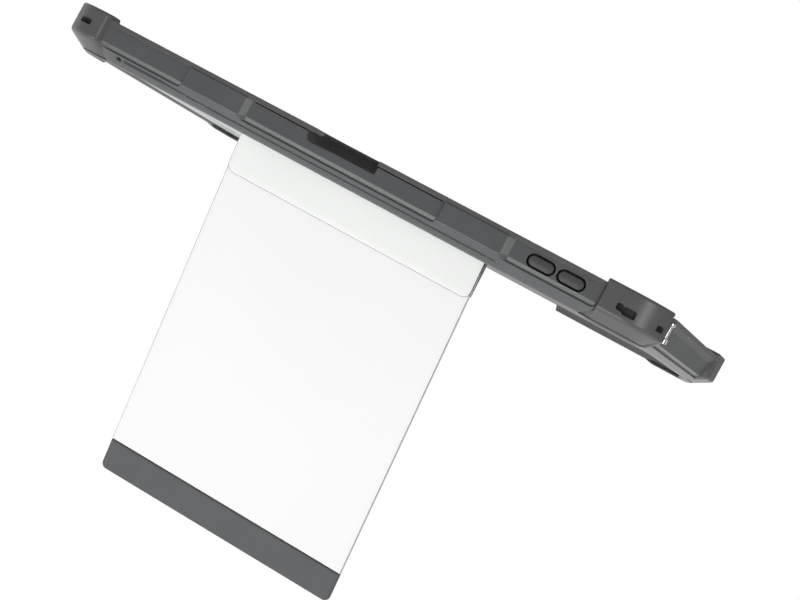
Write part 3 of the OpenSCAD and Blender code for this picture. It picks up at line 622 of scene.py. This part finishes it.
def armour_band():
    """Section carried round the outline. The walls of the top edge and of the left side take their
    recessed levels where a panel is, and pits for the keys, sockets, groove and screws go in square
    to the surface that they start from."""
    section = profile([(inner_in, bezel_low, 0), (wall_in, bezel_low, 0.35),
                       (wall_in, shoulder, 0.5), (rim_in, rim_back, 1.4),
                       (rim_flat_in, rim_back, 0.6), skirt_bend + (0.1,),
                       (skirt_in, panel_back - 0.05, 0.1), (skirt_in, panel_back + 0.3, 0),
                       (rim_flat_in, inner_back, 0), (inner_in, inner_back, 0)],
                      [2, 30, 28, 5, 2, 2, 1, 2, 3, 1], 3)
    columns = armour_columns()
    inset, z = np.broadcast_to(section[:, :1], (len(section), len(columns))), section[:, 1:]
    x = signed_x(columns)[None]
    share = sum(panel_share(x, z, low, high, facet) for low, high in panels)
    up = (columns - side_left + corner_r)[None]
    side_in = inset + share * (recessed(inset, z, top_levels) - inset)
    side_share = panel_share(-up, z, -side_panel[1], -side_panel[0], side_facet)
    side_in = side_in + side_share * (recessed(inset, z, side_levels) - inset)

    # what goes in through the wall
    outer = inset < rim_in
    wells = wall_wells(columns, x, z, outer)
    side_in = side_in + wells
    seam = slot_distance(x - seam_x, z - bezel_low, seam_half, 0.45, 0.1)
    wall = outer & (z < bezel_low - 0.1) & (z > shoulder + 0.2)
    side_in = side_in + np.where(wall, pit(seam, 1.2, 0.2), 0)
    depth = scoop_depth(x, z)
    scooped = core_in + depth + 0.3
    side_in = np.where((depth > 0.05) & outer, np.maximum(side_in, scooped), side_in)

    # what goes in square to the chamfer
    down = (shoulder - z) / chamfer_drop * chamfer_len
    sloped = outer & (z < shoulder) & (z > rim_back + 0.05)
    holes = hole_distance(columns, x, down)
    cuts = pit(groove_distance(x, down), 1.0, 0.55) + pit(holes, 1.0, 0.35)
    deep = np.where(sloped, cuts, 0)
    side_in = side_in + deep * chamfer_drop / chamfer_len
    z_out = z + deep * chamfer_run / chamfer_len

    # under each bumper the band drops to the core
    core_level = np.interp(-z, [0, 11, 17.4], [core_in + 0.1, core_in + 0.1, 11.6])
    down_share = np.clip(down / chamfer_len, 0, 1)
    for ends in bumper_ends.values():
        hidden = np.maximum(bumper_share(columns[None], down_share, ends),
                            bumper_share(columns[None] + outline_length, down_share, ends))
        core = np.maximum(side_in, core_level)
        side_in = side_in + smooth(hidden * 2 - 0.4) * np.where(outer, core - side_in, 0)

    # the notch of the bottom rim
    beside = np.abs(bottom + straight_w - columns[None] - stand_x) - foot_half - foot_room
    z_out = z_out + smooth(-beside / 0.6) * np.maximum(notch_z - z_out, 0) * (z < shoulder)

    points = carried(columns, side_in, z_out)
    # the deep wells and the screw holes take the dark liner finish: painted shade inside those pits
    dark = (wells > 0.6) | (sloped & (holes < -0.3))
    on_skirt = (section[:, :1] > skirt_bend[0] - 0.1) & (section[:, :1] < skirt_in + 0.1)
    pale = on_skirt & (points[..., 0] > pale_skirt_x)
    return piece("armour_band", tablet, points, grid_faces(*points.shape[:2], True, True), "armour",
                 "tablet", ["armour_frame"], [("liner", dark), ("back_panel", pale)])


# ---------------------------------------------------------------- bumpers

def bumper(name, pits=None, fine=()):
    """Section carried along one corner of the outline. At its ends it goes over from the bumper's
    own section to one of as many points that lies just under the armour. pits(a, z) is the depth of
    its slots, and fine their places, each a middle and a reach."""
    ends = bumper_ends[name]
    start, stop = ends[0] - bumper_tail, ends[1] + bumper_tail
    runs = [3, 8, 40, 32, 3, 2, 2, 6, 6, 4]
    wall_end, core_end = -12.0, -11.0           # depths where the wall and the core under it end
    lip_in, back_in, flat_in = 9.0, 11.5, 14.0  # insets of the lip's edge and of the flat back
    under_in, sunk_flat_in = 11.7, 12.6
    proud = profile([(lip_in, -0.02, 0), (lip_in, lip_up, 0.5), (0.0, lip_up, 1.3),
                     (0.0, wall_end, 1.6), (back_in, bumper_back, 1.7), (flat_in, bumper_back, 0.3),
                     (flat_in, rim_back + 0.1, 0), (under_in, rim_back + 0.1, 0),
                     (core_in + 0.1, core_end, 0), (core_in + 0.1, -0.02, 0)], runs)
    sunk = profile([(lip_in - 0.1, -0.03, 0), (lip_in - 0.1, -0.06, 0.02), (sunk_in, -0.1, 0.1),
                    (sunk_in, core_end, 0.3), (rim_in + 0.6, rim_back + 0.3, 0.2),
                    (sunk_flat_in, rim_back + 0.3, 0.1), (sunk_flat_in, rim_back + 0.4, 0),
                    (under_in, rim_back + 0.4, 0), (sunk_in + 0.1, core_end, 0),
                    (sunk_in + 0.1, -0.2, 0)], runs)
    columns = stations(start, stop, 1.2, 0.3, list(fine) + [(ends[0], 6.5), (ends[1], 4.0)])
    z = proud[:, 1:]
    down = np.clip((wall_end - z) / (wall_end - bumper_back), 0, 1)
    share = bumper_share(columns[None], down, ends)
    lip = smooth((columns - ends[0] - ends[2] * 0.1) / 0.9) * smooth((ends[1] - columns) / 0.9)
    share = np.where(z > 0.3, lip[None], share)
    inset = sunk[:, :1] + share * (proud[:, :1] - sunk[:, :1])
    z_out = sunk[:, 1:] + share * (proud[:, 1:] - sunk[:, 1:])
    wall = (proud[:, :1] < 0.5) & (z < 0)
    hollow = np.where(wall, pits(columns[None], z), 0) if pits else np.zeros(inset.shape)
    inset = inset + hollow
    points = carried(columns, inset, z_out)
    # the deep parts of the slots take the dark liner finish: painted shade inside them
    return piece("corner_" + name, tablet, points, tube_faces(*points.shape[:2]), "bumper",
                 "tablet", ["bumper_" + name], [("liner", hollow > 0.8)])


LANYARD_AT = straight_w + 8.4    # places of the bumpers' openings round the outline
STYLUS_AT = top_left
HOLE_AT = top_left - 18.0


def lanyard_slot(a, z):
    """The plain slot of the top right bumper, as a depth."""
    return pit(slot_distance(a - LANYARD_AT, z + 5.4, 3.7, 1.3, 0.8), 2.2, 0.4)


def stylus_slots(a, z):
    """The slot of two lobes and the square hole of the top left bumper, as a depth."""
    x = a - STYLUS_AT
    small = slot_distance(x - 2.7, z + 6.9, 1.5, 1.5, 0.9)
    large = slot_distance(x + 2.2, z + 7.6, 3.2, 1.8, 1.0)
    neck = slot_distance(x - 0.6, z + 7.4, 2.6, 1.25, 0.3)
    hole = slot_distance(a - HOLE_AT, z + 7.3, 2.1, 1.35, 0.2)
    lobes = np.minimum(np.minimum(small, large), neck)
    return pit(lobes, 2.2, 0.35) + pit(hole, 2.2, 0.3)


# ---------------------------------------------------------------- front bezel and scoop liner

def front_bezel():
    """Section carried round the outline. Its outer side is moved in where it passes behind the
    scoop and the bumpers."""
    section = profile([(bezel_in, bezel_low, 0.1), (bezel_in, 0, 0.3), (bezel_open_in, 0, 0.5),
                       (bezel_open_in, bezel_low, 0)], [4, 12, 3, 3])
    scoop_ends = [(scoop_x - scoop_half, 4.0), (scoop_x + scoop_half, 4.0)]
    columns = np.sort(np.concatenate([
        stations(-straight_w, straight_w, 6.0, 0.3, scoop_ends) % outline_length,
        np.arange(straight_w, outline_length - straight_w, 1.6)]))
    gap = np.clip((scoop_half - 2.0 - np.abs(signed_x(columns) - scoop_x + 2.0)) / 1.2, 0, 1)
    scooped = core_in + bezel_skin - bezel_in + scoop_depth(signed_x(columns), -1.2)
    behind = scooped * smooth(gap)
    for ends in bumper_ends.values():
        here = bumper_share(columns, 0, ends) + bumper_share(columns + outline_length, 0, ends)
        behind = behind + (core_in + 0.2 - bezel_in) * smooth(here * 2 - 0.5)
    width = bezel_open_in - bezel_in
    inset = bezel_open_in - (bezel_open_in - section[:, :1]) * (width - behind[None]) / width
    points = carried(columns, inset, section[:, 1:])
    return piece("bezel_front", tablet, points, grid_faces(*points.shape[:2], True, True), "bezel",
                 "tablet", ["front_bezel"])


def liner():
    """Thin skin of the finger scoop: its depth over the panel is a function of x and z, and the same
    surface again a little further in closes it. Its dark finish is painted shade standing in for the
    shade inside the deep scoop."""
    x = scoop_x + np.linspace(-scoop_half, scoop_half, 110)[None]
    z = np.linspace(scoop_low - 1.2, -0.25, 40)[:, None]
    depth = scoop_depth(x, z)
    deep = core_in + bezel_skin + depth - 0.3 * smooth(depth / 0.4)
    face = np.stack(np.broadcast_arrays(x, tall - deep, z), -1)
    back = face[::-1] - np.array([0, 0.5, 0])
    points = np.concatenate([face, back])
    return piece("scoop_skin", tablet, points, tube_faces(*points.shape[:2]), "liner", "tablet",
                 ["scoop_liner"])


# ---------------------------------------------------------------- keys and tether post

def stadium(half_len, r, count=48):
    """Closed ring round a straight slot: two half circles of radius r, half_len - r either side."""
    angle = np.arange(count) / count * 2 * math.pi
    side = np.where(np.cos(angle) >= 0, 1, -1) * (half_len - r)
    return np.stack([side + r * np.cos(angle), r * np.sin(angle)], -1)


def key_cap(name, node, body, key_x):
    """Rings of a shrinking stadium: up the straight side, round the edge and over a low dome."""
    r = key_tall / 2
    inset = np.concatenate([np.zeros(4), 0.7 * (1 - np.cos(np.linspace(0, math.pi / 2, 8))),
                            np.linspace(0.9, r - 0.05, 8)])
    rim = np.concatenate([np.linspace(-1.5, -0.9, 4),
                          -0.9 + 0.7 * np.sin(np.linspace(0, math.pi / 2, 8)),
                          -0.2 + 0.2 * np.sin(np.linspace(0.1, math.pi / 2, 8))])
    rings = np.stack([stadium(key_len / 2 - i, max(r - i, 0.03)) for i in inset])
    up = np.broadcast_to(rim[:, None], rings.shape[:2])
    points = np.stack([key_x + rings[..., 0], key_out + up, key_z + rings[..., 1]], -1)
    return piece(name, tablet, points, stack_faces(*points.shape[:2]), "key", body, [node])


def turned(radii, heights, middle, count=40):
    """Surface of revolution about an axis along Z through middle: rings of those radii at those
    heights."""
    angle = np.arange(count) / count * 2 * math.pi
    x = middle[0] + radii[:, None] * np.cos(angle)
    y = middle[1] + radii[:, None] * np.sin(angle)
    return np.stack([x, y, np.broadcast_to(heights[:, None], x.shape)], -1)


def tether_post():
    """Steel post turned with a collar at each end and a waist between them."""
    low, high = tablet.box("tether_post")
    middle = (low + high) / 2
    t = np.linspace(0, 1, 60)
    heights = low[2] + t * (high[2] - low[2])
    r = (high[0] - low[0]) / 2
    collar = smooth((np.abs(t - 0.54) - 0.28) / 0.06)
    radii = r - 0.25 + 0.75 * collar
    points = turned(radii, heights, middle)
    return piece("post_tether", tablet, points, stack_faces(*points.shape[:2]), "steel", "tablet",
                 ["tether_post"])


# ---------------------------------------------------------------- stand

def slab_ring(low, high, radii, inset, count=10):
    """Closed ring of a rectangle with its own radius at each corner, from the low -X one round,
    moved in by inset."""
    places = [(low[0], low[1]), (high[0], low[1]), (high[0], high[1]), (low[0], high[1])]
    ring = []
    for i, (x, y) in enumerate(places):
        r = max(radii[i] - inset, 0.02)
        turn = math.pi + i * math.pi / 2 + np.linspace(0, math.pi / 2, count)
        sx, sy = (1 if x == low[0] else -1), (1 if y == low[1] else -1)
        centre = np.array([x + sx * (inset + r), y + sy * (inset + r)])
        ring.append(centre + r * np.stack([np.cos(turn), np.sin(turn)], -1))
    return np.concatenate(ring)


def stand_slab(name, node, slot, radii=(0.4, 0.4, 0.4, 0.4), edge=0.35, end=None, rim=None):
    """Flat slab with rounded corners and edges: rings of the node's rectangle that shrink by a
    quarter circle of radius edge towards both faces. It stops at end along Y where that is given,
    and rim is the finish of its narrow sides, a darker one that paints shade along those edges."""
    low, high = stand.box(node)
    high[1] = high[1] if end is None else end
    bend = np.linspace(0, math.pi / 2, 6)
    inset = np.concatenate([[3.0], edge * (1 - np.sin(bend)), edge * (1 - np.cos(bend)), [3.0]])
    z = np.concatenate([[low[2]], low[2] + edge * (1 - np.cos(bend)),
                        high[2] - edge * (1 - np.sin(bend)), [high[2]]])
    rings = np.stack([slab_ring(low[:2], high[:2], radii, i) for i in inset])
    points = np.concatenate([rings, np.broadcast_to(z[:, None, None], rings.shape[:2] + (1,))], -1)
    ring = np.arange(len(inset))[:, None]
    shaded_rim_faces = np.broadcast_to((ring > 0) & (ring < len(inset) - 2), rings.shape[:2])
    return piece(name, stand, points, stack_faces(*points.shape[:2]), slot, "stand", [node],
                 [(rim, shaded_rim_faces)] if rim else ())


armour_band()
bumper("top_right", lanyard_slot, [(LANYARD_AT, 6.0)])
bumper("top_left", stylus_slots, [(STYLUS_AT, 6.5), (HOLE_AT, 4.0)])
bumper("bottom_right")
bumper("bottom_left")
front_bezel()
liner()
key_cap("power_cap", "power_key", "power_button", key_xs[0])
key_cap("volume_cap", "volume_key", "volume_button", key_xs[1])
tether_post()
foot_start = stand.box("stand_foot")[0][1]
# the plate's narrow sides take a bare steel grey, partly the metal's own edge and partly painted
# shade on those edges
stand_slab("plate_stand", "stand_plate", "stand_white", end=foot_start - 0.05, rim="steel")
stand_slab("foot_stand", "stand_foot", "foot", radii=(0.4, 0.4, 3.0, 3.0), edge=0.9)
# the cover's narrow sides take the dark liner finish: a painted shadow line along its edges
stand_slab("cover_hinge", "hinge_cover", "cover_white", radii=(0.4, 0.4, 4.0, 4.0), edge=0.2,
           rim="liner")


# ---------------------------------------------------------------- camera, floor and light

EYE = (-288.5, 1057.7, -35.0)       # the camera's place in the tablet frame
AIM = (-49.8, 230.0, -48.8)         # a point that it looks straight at
ROLL = 28.5                         # degrees that the picture is turned about the line of sight
LENS = 90.0
SENSOR = 36.0


def camera():
    """Looks from EYE to AIM, with the tablet's front uppermost before it is rolled."""
    eye, aim = Vector(tablet.place(EYE)), Vector(tablet.place(AIM))
    ahead = (aim - eye).normalized()
    front = Vector(tablet.turn[2])
    up = (front - ahead * front.dot(ahead)).normalized()
    up.rotate(Matrix.Rotation(math.radians(-ROLL), 3, ahead))
    right = ahead.cross(up)
    turn = Matrix((right, up, -ahead)).transposed().to_4x4()
    made = bpy.data.objects.new("camera", bpy.data.cameras.new("camera"))
    made.matrix_world = Matrix.Translation(eye) @ turn
    made.data.lens = LENS
    made.data.sensor_width = SENSOR
    made.data.clip_end = 20
    bpy.context.scene.collection.objects.link(made)
    bpy.context.scene.camera = made


def floor():
    """Wide pale floor that glows evenly, so that it stays white under the object."""
    size = 6.0                  # metres from its middle to each side
    mesh = bpy.data.meshes.new("floor")
    mesh.from_pydata([(-size, -size, 0), (size, -size, 0), (size, size, 0), (-size, size, 0)], [],
                     [(0, 1, 2, 3)])
    made = bpy.data.objects.new("floor", mesh)
    bpy.context.scene.collection.objects.link(made)
    made.location.z = cad_low.z - 0.0005
    material = bpy.data.materials.new("floor_white")
    material.use_nodes = True
    shader = material.node_tree.nodes["Principled BSDF"]
    shader.inputs["Base Color"].default_value = (0.0, 0.0, 0.0, 1)
    shader.inputs["Roughness"].default_value = 1.0
    shader.inputs["Specular IOR Level"].default_value = 0.0
    shader.inputs["Emission Color"].default_value = (1, 1, 1, 1)
    shader.inputs["Emission Strength"].default_value = 1.0
    mesh.materials.append(material)


def softbox(name, direction, distance, size, power):
    """Square white light in a direction from the middle of the object, turned to face it."""
    middle = (cad_low + cad_high) / 2
    light = bpy.data.lights.new(name, "AREA")
    light.shape = "SQUARE"
    light.size = size
    light.energy = power
    made = bpy.data.objects.new(name, light)
    towards = Vector(direction).normalized()
    made.location = middle + towards * distance
    made.rotation_mode = "QUATERNION"
    made.rotation_quaternion = towards.to_track_quat("Z", "Y")
    bpy.context.scene.collection.objects.link(made)


def world(strength):
    """Even pale surround."""
    made = bpy.data.worlds.new("surround")
    made.use_nodes = True
    made.node_tree.nodes["Background"].inputs["Color"].default_value = (1, 1, 1, 1)
    made.node_tree.nodes["Background"].inputs["Strength"].default_value = strength
    bpy.context.scene.world = made


camera()
floor()
world(0.4)
softbox("back_softbox", (0.3, 0.93, 0.25), 2.0, 0.8, 16)
softbox("side_softbox", (-0.64, 0.49, 0.59), 2.0, 0.5, 8)
bpy.context.scene.view_settings.view_transform = "Standard"
